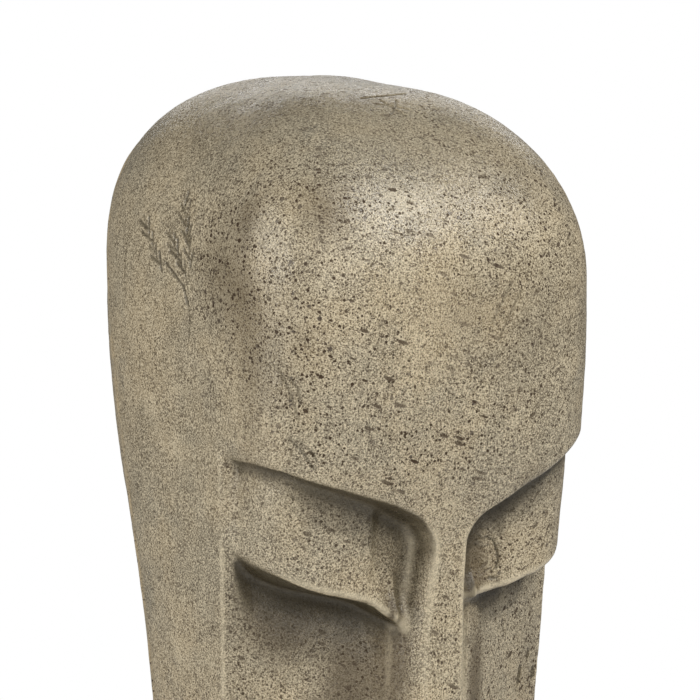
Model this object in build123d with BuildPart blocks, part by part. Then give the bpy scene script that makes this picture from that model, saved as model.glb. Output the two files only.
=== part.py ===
"""Free-standing tiki head, cast hollow in two halves of stone-and-resin composite.

Millimetres, +Z up. The face looks along -Y, and the figure's own left side is +X.
The origin is on the floor, in the middle of the bounding box.
The casting is a front half (face, sides and crown) and a back half, bonded along a leaning
parting plane. A screwed base plate closes the foot, stands on rubber feet and holds a bung,
through which the foot is ballasted with sand.
"""

import os

from build123d import *

os.makedirs("parts", exist_ok=True)

# ---------------------------------------------------------------- driving dimensions
HEIGHT = 760.0
FOOT_H = 8.0  # rubber feet lift the casting off the floor
WALL = 10.0

# horizontal stations of the outer form below the crown: height, half width, front, back
STATIONS = [
    (FOOT_H, 100, -98.5, 89.5),
    (70, 95, -92.5, 81.5),
    (140, 93, -90.5, 77.5),
    (205, 97, -102.5, 75.5),
    (298, 105.5, -116.5, 78.5),
    (340, 109.5, -109.5, 78.5),
    (388, 113, -103.5, 80.5),
    (440, 115.5, -102.5, 87.5),
    (496, 118, -107.5, 102.5),
    (540, 119.5, -119.5, 115.5),
    (575, 120.8, -124, 122),
    (610, 122, -126, 125.5),
    (640, 122, -126.5, 126.5),
]
# stations of the hollow, which keeps behind the face relief
HOLLOW_STATIONS = [
    (FOOT_H, 88, -86, 76),
    (24, 88, -86, 76),
    (80, 83, -78, 70),
    (140, 82, -72, 66),
    (205, 84, -54, 64),
    (280, 88, -48, 66),
    (388, 94, -48, 70),
    (475, 98, -50, 86),
    (540, 104, -84, 104),
    (595, 110, -112, 113),
    (640, 112, -114, 116),
]
CROWN_Z = 640.0  # the crown closes from here to HEIGHT
CROWN_POWER = 2.3
CROWN_STEPS = (0.35, 0.55, 0.725, 0.85, 0.94, 0.985)
CROWN_LEAN = 36.0  # the middle of the crown moves this far back on its way to the apex
CROWN_LEAN_POWER = 1.8
PLAN_MID = -18.5  # y where the front and back halves of a section meet
FRONT_POWER = 3.3
BACK_POWER = 4.0
OUTLINE_POINTS = 24
PAST_SIDE = 140.0  # any distance well outside the form

# brow line and lower lid of one side, in the XZ plane
BROW = [(12, 496), (37, 512.5), (68, 528), (93, 537), (116, 548)]
LID = [(20, 444), (42, 454), (70, 461.5), (93, 468), (112, 479)]
EYE_INSET = 8.0  # the eye block lies this far behind the outer form

# cheek planes, which fade into the neck below: height, y at the side, y beside the nose
CHEEKS = [
    (150, -86.5, -124.5),
    (185, -48.5, -102.5),
    (240, -22.5, -84.5),
    (388, -19.5, -80.5),
    (470, -26.5, -81.5),
    (570, -30.5, -82.5),
]
CHEEK_IN_X = 28.0

# nose: height, half width of the ridge, half width at the cheek
NOSE = [
    (500, 12.5, 21),
    (440, 13, 26),
    (388, 14.5, 31),
    (330, 20, 37),
    (298, 26, 43),
]
NOSE_ROOT_Y = -58.0
NOSE_CHEEK_Y = -80.5
NOSE_RIDGE_Y = -104.5

# mouth and chin: half width, bottom, top, front, radius of the front corners
LOWER_FACE = [
    (50, 222, 290, -97, 26),
    (44, 254, 274, -106.5, 24),
    (44, 230, 251, -106.5, 24),
    (56, 166, 214, -103, 30),
]
FACE_BACK_Y = -46.0

# parting plane, leaning back with height
PART_Y0 = -18.0
PART_SLOPE = 0.17
BEAD_W = 3.0
BEAD_DEPTH = 2.0
TAPE_W = 44.0
TAPE_T = 2.0
TAPE_Z = 60.0

# foot
PLATE_T = 12.0
PLATE_GAP = 1.0
BLOCK_SIZE = (36.0, 34.0, 34.0)
BLOCK_X = 30.0
BLOCK_FRONT_Y = -69.0
BLOCK_BACK_Y = 59.0
SHANK_R = 2.0
HEAD_R = 4.0
BASE_SCREW_LENGTH = 36.0
DRIVE_W = 1.2
DRIVE_DEPTH = 1.4
PAD_R = 16.0
PAD_EDGE_R = 2.0
PAD_X = 60.0
PAD_FRONT_Y = -50.0
PAD_BACK_Y = 40.0
PAD_POCKET_R = 6.0
PAD_POCKET_DEPTH = 4.0
WASHER_R = 5.6
WASHER_T = 1.0
FOOT_HEAD_H = 2.2
FOOT_SCREW_LENGTH = 13.0
COLLAR_R = 27.0
COLLAR_FLANGE_R = 32.0
COLLAR_FLANGE_T = 1.6
BUNG_R = 22.0
BUNG_CLEARANCE = 0.08
BUNG_FLANGE_R = 28.0
BUNG_FLANGE_T = 3.0
BUNG_TOP_GAP = 1.0
FINGER_R = 15.0
SAND_TOP_Z = 120.0
SAND_GAP = 3.0

PLATE_TOP_Z = FOOT_H + PLATE_T
SCREW_PLACES = [(x, y) for x in (-BLOCK_X, BLOCK_X) for y in (BLOCK_FRONT_Y, BLOCK_BACK_Y)]
PAD_PLACES = [(x, y) for x in (-PAD_X, PAD_X) for y in (PAD_FRONT_Y, PAD_BACK_Y)]
UP = (Align.CENTER, Align.CENTER, Align.MIN)
DOWN = (Align.CENTER, Align.CENTER, Align.MAX)
FORWARD = (0, -1, 0)


# ---------------------------------------------------------------- sections of the form
def between(a, b, share):
    """A value part of the way from a to b."""
    return a + (b - a) * share


def outline(half_width, front, back, middle=PLAN_MID):
    """Closed outline: a blunt superellipse in front and a squarer one behind."""
    points = []
    for i in range(OUTLINE_POINTS):
        ray = Vector(1, 0, 0).rotate(Axis.Z, 360.0 * i / OUTLINE_POINTS)
        power = BACK_POWER if ray.Y > 0 else FRONT_POWER
        depth = back - middle if ray.Y > 0 else middle - front
        reach = (abs(ray.X / half_width) ** power + abs(ray.Y / depth) ** power) ** (-1 / power)
        points.append((ray.X * reach, middle + ray.Y * reach))
    return points


def crown_stations(half_width, front, back, top):
    """Stations that close a section into the crown, ending in a small flat."""
    stations = []
    for step in CROWN_STEPS:
        share = (1 - step**CROWN_POWER) ** (1 / CROWN_POWER)
        middle = PLAN_MID + CROWN_LEAN * step**CROWN_LEAN_POWER
        z = between(CROWN_Z, top, step)
        crown_front = middle + (front - PLAN_MID) * share
        crown_back = middle + (back - PLAN_MID) * share
        stations.append((z, half_width * share, crown_front, crown_back, middle))
    stations[-1] = (top, *stations[-1][1:])
    return stations


def closed_stations(stations, top, inset=0.0):
    """Stations set in by the same amount all round, with the crown that closes them."""
    low = [(z, a - inset, front + inset, back - inset) for z, a, front, back in stations]
    _, half_width, front, back = low[-1]
    return low + crown_stations(half_width, front, back, top - inset)


def sections(stations):
    """One closed face at each station, ready to loft."""
    faces = []
    for z, *shape in stations:
        with BuildSketch(Plane.XY.offset(z)) as section:
            with BuildLine():
                Spline(*outline(*shape), periodic=True)
            make_face()
        faces.append(section.sketch.face())
    return faces


def mirrored_face(points):
    """A face in the XZ plane from one side's outline, mirrored to the other side."""
    with BuildSketch(Plane.XZ) as profile:
        with BuildLine():
            Polyline(*points, close=True)
        make_face()
        mirror(about=Plane.YZ)
    return profile.sketch


def level_face(z, points):
    """A face at a height from one side's outline, mirrored to the other side."""
    other_side = [(-x, y) for x, y in reversed(points)]
    with BuildSketch(Plane.XY.offset(z)) as level:
        with BuildLine():
            Polyline(*points, *other_side, close=True)
        make_face()
    return level.sketch.face()


def parting_plane(offset=0.0):
    """The leaning parting plane. Its normal points back, and offset moves it that way."""
    rise = Vector(0, PART_SLOPE, 1).normalized()
    normal = rise.cross(Vector(1, 0, 0))
    return Plane(origin=Vector(0, PART_Y0, 0) + normal * offset, x_dir=(1, 0, 0), z_dir=normal)


def parting_slab(start, width):
    """A slab along the parting plane, from start to start + width behind it."""
    with BuildPart() as slab:
        with BuildSketch(parting_plane(start)):
            Rectangle(2 * PAST_SIDE, 2.2 * HEIGHT)
        extrude(amount=width)
    return slab.part


def side_line(inner, outer):
    """The point where the line from inner to outer passes the side of the form."""
    share = (PAST_SIDE - inner[0]) / (outer[0] - inner[0])
    return (PAST_SIDE, between(inner[1], outer[1], share))


# ---------------------------------------------------------------- outer form and its copies
with BuildPart() as skin:
    loft(sections=sections(closed_stations(STATIONS, HEIGHT)))

with BuildPart() as bead_floor:
    loft(sections=sections(closed_stations(STATIONS, HEIGHT, BEAD_DEPTH)))

with BuildPart() as eye_level:
    loft(sections=sections(closed_stations(STATIONS, HEIGHT, EYE_INSET)))

with BuildPart() as hollow:
    loft(sections=sections(closed_stations(HOLLOW_STATIONS, HEIGHT - WALL)))

with BuildPart() as hollow_in_tape:
    loft(sections=sections(closed_stations(HOLLOW_STATIONS, HEIGHT - WALL, TAPE_T)))


# ---------------------------------------------------------------- relief of the face
brow_side = side_line(BROW[-2], BROW[-1])
lid_side = side_line(LID[-2], LID[-1])
jaw_z = CHEEKS[0][0] + 1

with BuildPart() as relief:
    sunken = mirrored_face([(0, BROW[0][1]), *BROW, brow_side, (PAST_SIDE, jaw_z), (0, jaw_z)])
    extrude(sunken, amount=2 * PAST_SIDE, dir=FORWARD)

with BuildPart() as cheeks:
    cheek_levels = []
    for level_z, side_y, inner_y in CHEEKS:
        corner_points = [(PAST_SIDE, 0), (PAST_SIDE, side_y), (CHEEK_IN_X, inner_y)]
        cheek_levels.append(level_face(level_z, corner_points))
    loft(sections=cheek_levels)

with BuildPart() as eyes:
    above_brow = brow_side[1] + EYE_INSET
    eye_band = mirrored_face(
        [(0, above_brow), (PAST_SIDE, above_brow), lid_side, *reversed(LID), (0, LID[0][1])]
    )
    extrude(eye_band, amount=2 * PAST_SIDE, dir=FORWARD)
    add(eye_level.part, mode=Mode.INTERSECT)

with BuildPart() as nose:
    nose_levels = []
    for level_z, ridge_x, root_x in NOSE:
        flank = [(root_x, NOSE_ROOT_Y), (root_x, NOSE_CHEEK_Y), (ridge_x, NOSE_RIDGE_Y)]
        nose_levels.append(level_face(level_z, [*flank, (ridge_x, -PAST_SIDE)]))
    loft(sections=nose_levels)

with BuildPart() as lower_face:
    for half_width, low, high, front, corner in LOWER_FACE:
        with BuildSketch(Plane.XY.offset(low)):
            with BuildLine():
                FilletPolyline(
                    (-half_width, FACE_BACK_Y),
                    (-half_width, front),
                    (half_width, front),
                    (half_width, FACE_BACK_Y),
                    radius=corner,
                )
                Line((half_width, FACE_BACK_Y), (-half_width, FACE_BACK_Y))
            make_face()
        extrude(amount=high - low)

# what the face relief takes out of the outer form
with BuildPart() as carving:
    add(relief.part)
    add(cheeks.part, mode=Mode.SUBTRACT)
    add(eyes.part, mode=Mode.SUBTRACT)
    add(nose.part, mode=Mode.SUBTRACT)
    add(lower_face.part, mode=Mode.SUBTRACT)


# ---------------------------------------------------------------- the two halves and their joint
with BuildPart() as groove:
    add(parting_slab(-BEAD_W / 2, BEAD_W))
    add(bead_floor.part, mode=Mode.SUBTRACT)

with BuildPart() as casting:
    add(skin.part)
    add(carving.part, mode=Mode.SUBTRACT)
    add(hollow.part, mode=Mode.SUBTRACT)
    add(groove.part, mode=Mode.SUBTRACT)

with BuildPart() as front_shell:
    add(casting.part)
    add(parting_slab(0, HEIGHT), mode=Mode.SUBTRACT)
front_shell.part.label = "front_shell"
export_step(front_shell.part, "parts/front_shell.step")

with BuildPart() as back_shell:
    add(casting.part)
    add(parting_slab(0, HEIGHT), mode=Mode.INTERSECT)
back_shell.part.label = "back_shell"
export_step(back_shell.part, "parts/back_shell.step")

# filler bead in a shallow groove along the outside of the joint
with BuildPart() as seam_filler:
    add(skin.part)
    add(groove.part, mode=Mode.INTERSECT)
seam_filler.part.label = "seam_filler"
export_step(seam_filler.part, "parts/seam_filler.step")

# glass-fibre strip laminated across the joint from inside
with BuildPart() as seam_tape:
    add(hollow.part)
    add(hollow_in_tape.part, mode=Mode.SUBTRACT)
    add(parting_slab(-TAPE_W / 2, TAPE_W), mode=Mode.INTERSECT)
    with Locations((0, 0, 0)):
        Box(2 * HEIGHT, 2 * HEIGHT, TAPE_Z, align=UP, mode=Mode.SUBTRACT)
seam_tape.part.label = "seam_tape"
export_step(seam_tape.part, "parts/seam_tape.step")


# ---------------------------------------------------------------- foot
# timber blocks bonded to the inside of the wall, which take the base screws
with BuildPart() as screw_blocks:
    with Locations(*[(x, y, PLATE_TOP_Z) for x, y in SCREW_PLACES]):
        Box(*BLOCK_SIZE, align=UP)
    add(hollow.part, mode=Mode.INTERSECT)
    with Locations(*[(x, y, FOOT_H) for x, y in SCREW_PLACES]):
        Cylinder(SHANK_R, BASE_SCREW_LENGTH, align=UP, mode=Mode.SUBTRACT)
screw_blocks.part.label = "screw_blocks"
export_step(screw_blocks.part, "parts/screw_blocks.step")

_, foot_half_width, foot_front, foot_back = HOLLOW_STATIONS[0]
with BuildPart() as base_plate:
    with BuildSketch(Plane.XY.offset(FOOT_H)):
        with BuildLine():
            plate_outline = outline(
                foot_half_width - PLATE_GAP, foot_front + PLATE_GAP, foot_back - PLATE_GAP
            )
            Spline(*plate_outline, periodic=True)
        make_face()
        Circle(COLLAR_R, mode=Mode.SUBTRACT)
    extrude(amount=PLATE_T)
    with Locations(*[Plane((x, y, FOOT_H), z_dir=(0, 0, -1)) for x, y in SCREW_PLACES]):
        CounterSinkHole(SHANK_R, HEAD_R, depth=PLATE_T, counter_sink_angle=90)
    with Locations(*[(x, y, FOOT_H - PAD_POCKET_DEPTH) for x, y in PAD_PLACES]):
        Cylinder(SHANK_R, FOOT_SCREW_LENGTH, align=UP, mode=Mode.SUBTRACT)
base_plate.part.label = "base_plate"
export_step(base_plate.part, "parts/base_plate.step")

with BuildPart() as base_screws:
    with Locations(*[(x, y, FOOT_H) for x, y in SCREW_PLACES]):
        Cylinder(SHANK_R, BASE_SCREW_LENGTH, align=UP)
        Cone(HEAD_R, SHANK_R, HEAD_R - SHANK_R, align=UP)
        Box(2 * SHANK_R, DRIVE_W, DRIVE_DEPTH, align=UP, mode=Mode.SUBTRACT)
        Box(DRIVE_W, 2 * SHANK_R, DRIVE_DEPTH, align=UP, mode=Mode.SUBTRACT)
base_screws.part.label = "base_screws"
export_step(base_screws.part, "parts/base_screws.step")

with BuildPart() as rubber_feet:
    with Locations(*[(x, y, 0) for x, y in PAD_PLACES]):
        Cylinder(PAD_R, FOOT_H, align=UP)
    fillet(rubber_feet.edges().group_by(Axis.Z)[0], radius=PAD_EDGE_R)
    with Locations(*[(x, y, 0) for x, y in PAD_PLACES]):
        Cylinder(PAD_POCKET_R, PAD_POCKET_DEPTH, align=UP, mode=Mode.SUBTRACT)
        Cylinder(SHANK_R, FOOT_H, align=UP, mode=Mode.SUBTRACT)
rubber_feet.part.label = "rubber_feet"
export_step(rubber_feet.part, "parts/rubber_feet.step")

with BuildPart() as foot_washers:
    with Locations(*[(x, y, PAD_POCKET_DEPTH) for x, y in PAD_PLACES]):
        Cylinder(WASHER_R, WASHER_T, align=DOWN)
        Cylinder(SHANK_R, WASHER_T, align=DOWN, mode=Mode.SUBTRACT)
foot_washers.part.label = "foot_washers"
export_step(foot_washers.part, "parts/foot_washers.step")

washer_under_z = PAD_POCKET_DEPTH - WASHER_T
with BuildPart() as foot_screws:
    with Locations(*[(x, y, washer_under_z) for x, y in PAD_PLACES]):
        Cylinder(SHANK_R, FOOT_SCREW_LENGTH, align=UP)
        Cylinder(HEAD_R, FOOT_HEAD_H, align=DOWN)
    with Locations(*[(x, y, washer_under_z - FOOT_HEAD_H) for x, y in PAD_PLACES]):
        Box(2 * SHANK_R, DRIVE_W, DRIVE_DEPTH, align=UP, mode=Mode.SUBTRACT)
        Box(DRIVE_W, 2 * SHANK_R, DRIVE_DEPTH, align=UP, mode=Mode.SUBTRACT)
foot_screws.part.label = "foot_screws"
export_step(foot_screws.part, "parts/foot_screws.step")


# ---------------------------------------------------------------- ballast hole and its bung
with BuildPart() as fill_collar:
    with Locations((0, 0, FOOT_H)):
        Cylinder(COLLAR_R, PLATE_T, align=UP)
        Cylinder(COLLAR_FLANGE_R, COLLAR_FLANGE_T, align=DOWN)
    with Locations((0, 0, 0)):
        Cylinder(BUNG_R, PLATE_TOP_Z, align=UP, mode=Mode.SUBTRACT)
fill_collar.part.label = "fill_collar"
export_step(fill_collar.part, "parts/fill_collar.step")

collar_under_z = FOOT_H - COLLAR_FLANGE_T
with BuildPart() as fill_bung:
    with Locations((0, 0, collar_under_z)):
        Cylinder(BUNG_FLANGE_R, BUNG_FLANGE_T, align=DOWN)
        Cylinder(BUNG_R - BUNG_CLEARANCE, PLATE_TOP_Z - BUNG_TOP_GAP - collar_under_z, align=UP)
    chamfer(fill_bung.edges().group_by(Axis.Z)[-1], length=1.5)
    # finger hollow with a bar left across it
    with BuildSketch(Plane.XY.offset(collar_under_z - BUNG_FLANGE_T)):
        Circle(FINGER_R)
        Rectangle(2 * FINGER_R, FINGER_R / 2, mode=Mode.SUBTRACT)
    extrude(amount=PLATE_T, mode=Mode.SUBTRACT)
fill_bung.part.label = "fill_bung"
export_step(fill_bung.part, "parts/fill_bung.step")

with BuildPart() as sand_fill:
    loft(sections=sections(closed_stations(HOLLOW_STATIONS, HEIGHT - WALL, SAND_GAP)))
    with Locations((0, 0, PLATE_TOP_Z)):
        Box(HEIGHT, HEIGHT, SAND_TOP_Z - PLATE_TOP_Z, align=UP, mode=Mode.INTERSECT)
    with Locations(*[(x, y, PLATE_TOP_Z) for x, y in SCREW_PLACES]):
        Box(*BLOCK_SIZE, align=UP, mode=Mode.SUBTRACT)
sand_fill.part.label = "sand_fill"
export_step(sand_fill.part, "parts/sand_fill.step")
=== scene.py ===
"""Looks of the free-standing tiki head: a sculpted stone-and-resin casting in two halves.

The sculpt is a signed distance field in millimetres, in the frame's own axes (+Z up, the face
looks along -Y). It is sampled on a grid, meshed, weathered and cut along the parting plane.
"""

import math

import bmesh
import bpy
import numpy as np
import openvdb
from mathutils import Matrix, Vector


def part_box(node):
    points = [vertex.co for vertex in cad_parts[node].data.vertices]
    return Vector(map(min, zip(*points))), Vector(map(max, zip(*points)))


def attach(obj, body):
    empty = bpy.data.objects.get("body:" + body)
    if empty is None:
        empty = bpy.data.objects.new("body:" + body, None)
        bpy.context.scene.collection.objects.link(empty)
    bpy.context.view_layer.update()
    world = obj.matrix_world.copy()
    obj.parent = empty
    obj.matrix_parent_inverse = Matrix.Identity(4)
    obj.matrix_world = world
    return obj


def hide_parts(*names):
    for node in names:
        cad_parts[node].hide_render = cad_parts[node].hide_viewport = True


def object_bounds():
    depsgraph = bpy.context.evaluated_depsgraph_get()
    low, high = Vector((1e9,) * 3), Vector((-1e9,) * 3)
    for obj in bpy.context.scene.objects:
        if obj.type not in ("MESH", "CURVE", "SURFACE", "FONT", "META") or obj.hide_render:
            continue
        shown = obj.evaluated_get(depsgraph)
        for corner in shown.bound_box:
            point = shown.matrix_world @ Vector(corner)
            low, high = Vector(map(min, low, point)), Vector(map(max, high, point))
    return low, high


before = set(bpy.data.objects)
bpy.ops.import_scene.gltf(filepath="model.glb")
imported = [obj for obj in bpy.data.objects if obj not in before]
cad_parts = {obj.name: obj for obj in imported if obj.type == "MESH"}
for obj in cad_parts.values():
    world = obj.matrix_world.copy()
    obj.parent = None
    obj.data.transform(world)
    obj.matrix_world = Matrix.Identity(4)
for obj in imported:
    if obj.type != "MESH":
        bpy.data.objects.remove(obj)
cad_low, cad_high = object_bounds()

MM = 0.001

# ---------------------------------------- form of the head, millimetres
HEIGHT = cad_high.z / MM
FOOT_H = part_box("base_plate")[0].z / MM
CROWN_Z = 640.0
CROWN_POWER = 2.3
CROWN_LEAN = 36.0
CROWN_LEAN_POWER = 1.8
PLAN_MID = -18.5
FRONT_POWER = 3.3
BACK_POWER = 4.0

# height, half width, front, back
FORM = [
    (8, 100, -98.5, 89.5),
    (70, 95, -92.5, 81.5),
    (140, 93, -90.5, 77.5),
    (205, 97, -102.5, 75.5),
    (250, 101, -106.5, 76.5),
    (298, 105.5, -116.5, 78.5),
    (340, 109.5, -109.5, 78.5),
    (388, 113, -103.5, 80.5),
    (440, 115.5, -102.5, 87.5),
    (496, 118, -107.5, 102.5),
    (540, 119.5, -119.5, 115.5),
    (575, 120.8, -124, 122),
    (610, 122, -126, 125.5),
    (640, 122, -126.5, 126.5),
]
HOLLOW = [
    (8, 88, -86, 76),
    (24, 88, -86, 76),
    (80, 83, -78, 70),
    (140, 82, -72, 66),
    (205, 84, -54, 64),
    (280, 88, -48, 66),
    (388, 94, -48, 70),
    (475, 98, -50, 86),
    (540, 104, -84, 104),
    (595, 110, -112, 113),
    (640, 112, -114, 116),
]
WALL = 10.0  # thickness of the crown

# brow line and lower lid: distance from the middle, height
BROW = [(0, 488), (12, 497), (24, 506.5), (31, 510), (41, 514.5), (62, 521.2), (80, 527.2),
        (95, 532.6), (105, 537.4), (112, 540.8), (116, 544.1), (118, 548.1), (125, 558)]
LID = [(0, 433), (20, 438.5), (28, 443.5), (34, 447.5), (43, 453.5), (56, 458), (64, 460),
       (80, 464), (93, 469.5), (104, 477.5), (108, 482), (112, 486), (117, 494), (125, 502)]
# the same two lines on the +X side, where the carving is a little different
BROW_RIGHT = [(0, 488), (12, 497), (24, 506.5), (38, 514), (54, 523), (70, 530), (88, 539.5),
              (100, 545), (112, 549), (118, 552), (125, 560)]
LID_RIGHT = [(0, 450), (16, 452), (24, 453.5), (36, 456), (50, 459), (64, 463), (80, 467),
             (93, 472), (104, 479), (112, 486), (117, 494), (125, 502)]
# how far the eye lies behind the outer form: distance from the middle, depth
EYE_DEPTH = [(0, 16.5), (34, 16.5), (40, 15.5), (44, 13.5), (48, 10.6), (53, 8.8), (60, 7.8),
             (70, 7.0), (84, 6.2), (95, 5.4), (108, 5.0), (125, 5.0)]
EYE_SIDE_Y = -35.0  # the eye is carved in front of here
SHELF_DEPTH = 12.0  # depth of the lid beside the nose
SHELF_WIDTH = 52.0  # how far from the middle that shelf reaches
UNDER_BROW = 3.0  # extra depth of the eye right under the brow
BROW_DROP = 0.15  # slope of the underside of the brow
SCOOP = 7.0  # extra depth of the cheek just under the lid
SCOOP_HEIGHT = 36.0
SCOOP_IN_X = 24.0
SCOOP_OUT_X = 112.0
# cheek planes: height, y at CHEEK_OUT_X, y at CHEEK_IN_X
CHEEKS = [
    (150, -86.5, -124.5),
    (185, -48.5, -102.5),
    (240, -22.5, -84.5),
    (388, -19.5, -80.5),
    (470, -26.5, -81.5),
    (570, -30.5, -82.5),
]
CHEEK_OUT_X = 140.0
CHEEK_IN_X = 28.0
# nose: height, half width of the ridge, half width at the cheek
NOSE = [(298, 26, 43), (330, 20, 37), (388, 14.5, 31), (440, 12.5, 26), (470, 11, 18),
        (500, 10.3, 13)]
NOSE_RIGHT = [(298, 26, 43), (330, 20, 36), (388, 12.6, 26), (440, 13.4, 22), (470, 14, 20),
              (500, 14.5, 18)]
# how much further forward the +X cheek stands: height, distance
CHEEK_RIGHT = [(298, 0), (340, 2), (388, 3.5), (440, 5), (500, 5)]
NOSE_CHEEK_Y = -80.5
NOSE_RIDGE_Y = -104.5
NOSE_TIP_Z = 296.0
NOSE_TIP_ROUND = 12.0
# small upright ridge in the inner corner of each eye
NIB_X = 28.0
NIB_WIDTH = 2.6
NIB_HEIGHT = 3.2
NIB_LOW_Z = 440
NIB_HIGH_Z = 479
# mouth and chin: middle and half size of each rounded form, and the radius of the chin's edges
MUZZLE = ((0, -58, 254), (58, 44, 44))
UPPER_LIP = ((0, -75, 262), (47, 38, 10.0))
LOWER_LIP = ((0, -75, 242), (41, 36, 10.0))
CHIN = ((0, -60, 190), (50, 44, 26), 22)
CUPID_BOW = 1.5  # how far the upper lip dips in the middle
# roundings where the forms meet
BROW_FILLET = 10.0  # brow and nose
COVE_RANGE = (2.5, 6.0)  # between the eye and what stands in front of it
LID_ROUND = 3.5
BROW_ROUND = 1.4
CHEEK_ROUND = 2.2  # added to BROW_ROUND along the side of the cheek
# shallow flat place on the crown, in front of its top: middle, spread and depth
CROWN_FLAT = (21.0, 3.0)
CROWN_FLAT_SPREAD = 46.0
CROWN_FLAT_DEPTH = 4.2

# parting plane of the two halves
PART_Y0 = -18.0
PART_SLOPE = 0.17


def curve_through(points, at):
    """A smooth curve through (position, value) points, sampled at an array."""
    places = np.array([p[0] for p in points], dtype=np.float32)
    values = np.array([p[1] for p in points], dtype=np.float32)
    slopes = np.gradient(values, places)
    at = np.clip(at, places[0], places[-1])
    i = np.clip(np.searchsorted(places, at, side="right") - 1, 0, len(places) - 2)
    span = places[i + 1] - places[i]
    t = (at - places[i]) / span
    t2 = t * t
    t3 = t2 * t
    return (
        (2 * t3 - 3 * t2 + 1) * values[i]
        + (t3 - 2 * t2 + t) * span * slopes[i]
        + (3 * t2 - 2 * t3) * values[i + 1]
        + (t3 - t2) * span * slopes[i + 1]
    )


def column(table, n):
    """Position and n-th value of each row of a table."""
    return [(row[0], row[n]) for row in table]


def union(a, b, soft):
    """Union of two fields with a fillet about as wide as soft."""
    near = np.maximum(soft - np.abs(a - b), 0) / soft
    return np.minimum(a, b) - near * near * soft * 0.25


def overlap(a, b, soft):
    """Intersection of two fields, rounded about as wide as soft."""
    return -union(-a, -b, soft)


def fade(t):
    """0 below 0, 1 above 1, smooth between."""
    t = np.clip(t, 0, 1)
    return t * t * (3 - 2 * t)


def blunt_form(x, y, z, table, top):
    """Distance to the blunt column of superellipse sections, closed into a crown."""
    level = np.clip(z, table[0][0], CROWN_Z)
    half_width = curve_through(column(table, 1), level)
    front = curve_through(column(table, 2), level)
    back = curve_through(column(table, 3), level)
    rise = np.maximum(z - CROWN_Z, 0) / (top - CROWN_Z)
    middle = PLAN_MID + CROWN_LEAN * np.minimum(rise, 1) ** CROWN_LEAN_POWER
    behind = y > middle
    depth = np.where(behind, back - PLAN_MID, PLAN_MID - front)
    power = np.where(behind, BACK_POWER, FRONT_POWER).astype(np.float32)
    across = np.abs(x) / half_width + 1e-6
    along = np.abs(y - middle) / depth + 1e-6
    plan = (across**power + along**power) ** (1 / power)
    size = (plan**CROWN_POWER + rise**CROWN_POWER) ** (1 / CROWN_POWER)
    flat = size ** (1 - CROWN_POWER)
    pull = plan ** (CROWN_POWER - 1) * flat * plan ** (1 - power)
    slope_x = across ** (power - 1) / half_width * pull
    slope_y = along ** (power - 1) / depth * pull
    slope_z = rise ** (CROWN_POWER - 1) / (top - CROWN_Z) * flat
    slope = np.sqrt(slope_x**2 + slope_y**2 + slope_z**2)
    return (size - 1) / np.maximum(slope, 1 / 150)


def rounded_block(x, y, z, centre, half, radius):
    """Distance to a block with rounded edges."""
    q = [np.abs(v - c) - (h - radius) for v, c, h in zip((x, y, z), centre, half)]
    outside = np.sqrt(sum(np.maximum(v, 0) ** 2 for v in q))
    inside = np.minimum(np.maximum(np.maximum(q[0], q[1]), q[2]), 0)
    return outside + inside - radius


def ellipsoid(x, y, z, centre, half):
    """Rough distance to an ellipsoid."""
    r = [(v - c) / h for v, c, h in zip((x, y, z), centre, half)]
    k0 = np.sqrt(r[0] ** 2 + r[1] ** 2 + r[2] ** 2)
    k1 = np.sqrt(sum((v / h) ** 2 for v, h in zip(r, half))) + 1e-6
    return k0 * (k0 - 1) / k1


def by_side(x, left, right):
    """One value on the -X side of the face, another on the +X side."""
    return np.where(x > 0, right, left)


def cheek_field(x, y, z, lid_z):
    """Distance to the cheek planes, scooped out under the lid of the -X eye."""
    side = np.abs(x)
    out_y = curve_through(column(CHEEKS, 1), z)
    in_y = curve_through(column(CHEEKS, 2), z)
    slope = (out_y - in_y) / (CHEEK_OUT_X - CHEEK_IN_X)
    plane_y = np.where(side < CHEEK_IN_X, in_y, in_y + (side - CHEEK_IN_X) * slope)
    under_lid = fade(1 - (lid_z - z) / SCOOP_HEIGHT)
    under_lid = under_lid * fade((SCOOP_OUT_X - side) / 16) * fade((side - SCOOP_IN_X) / 18)
    forward = curve_through(CHEEK_RIGHT, z)
    plane_y = plane_y + by_side(x, SCOOP * under_lid, -forward)
    return (plane_y - y) / np.sqrt(1 + slope * slope)


def eye_depth(side, y, z, brow_z, lid_z):
    """How far behind the outer form the eye lies."""
    up_eye = np.clip((z - lid_z) / (brow_z - lid_z), 0, 1)
    depth = curve_through(EYE_DEPTH, side)
    shelf = fade((z - lid_z - 3) / 18)
    beside_nose = depth * shelf + np.minimum(depth, SHELF_DEPTH) * (1 - shelf)
    depth = np.where(side < SHELF_WIDTH, beside_nose, depth) + UNDER_BROW * up_eye * up_eye
    return depth * fade((EYE_SIDE_Y - y) / 14) - nib(side, z)


def nib(side, z):
    """Height of the small upright ridge in the inner corner of each eye."""
    across = np.exp(-(((side - NIB_X) / NIB_WIDTH) ** 2))
    along = fade((z - NIB_LOW_Z) / 8) * fade((NIB_HIGH_Z - z) / 22)
    return NIB_HEIGHT * across * along


def nose_field(x, y, z):
    """Distance to the nose: a ridge that widens towards the cheeks and the tip."""
    ridge, root = [
        by_side(x, curve_through(column(NOSE, k), z), curve_through(column(NOSE_RIGHT, k), z))
        for k in (1, 2)
    ]
    flare = (root - ridge) / (NOSE_CHEEK_Y - NOSE_RIDGE_Y)
    nose = (np.abs(x) - ridge - flare * (y - NOSE_RIDGE_Y)) / np.sqrt(1 + flare * flare)
    return overlap(nose, NOSE_TIP_Z - z, NOSE_TIP_ROUND)


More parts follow.
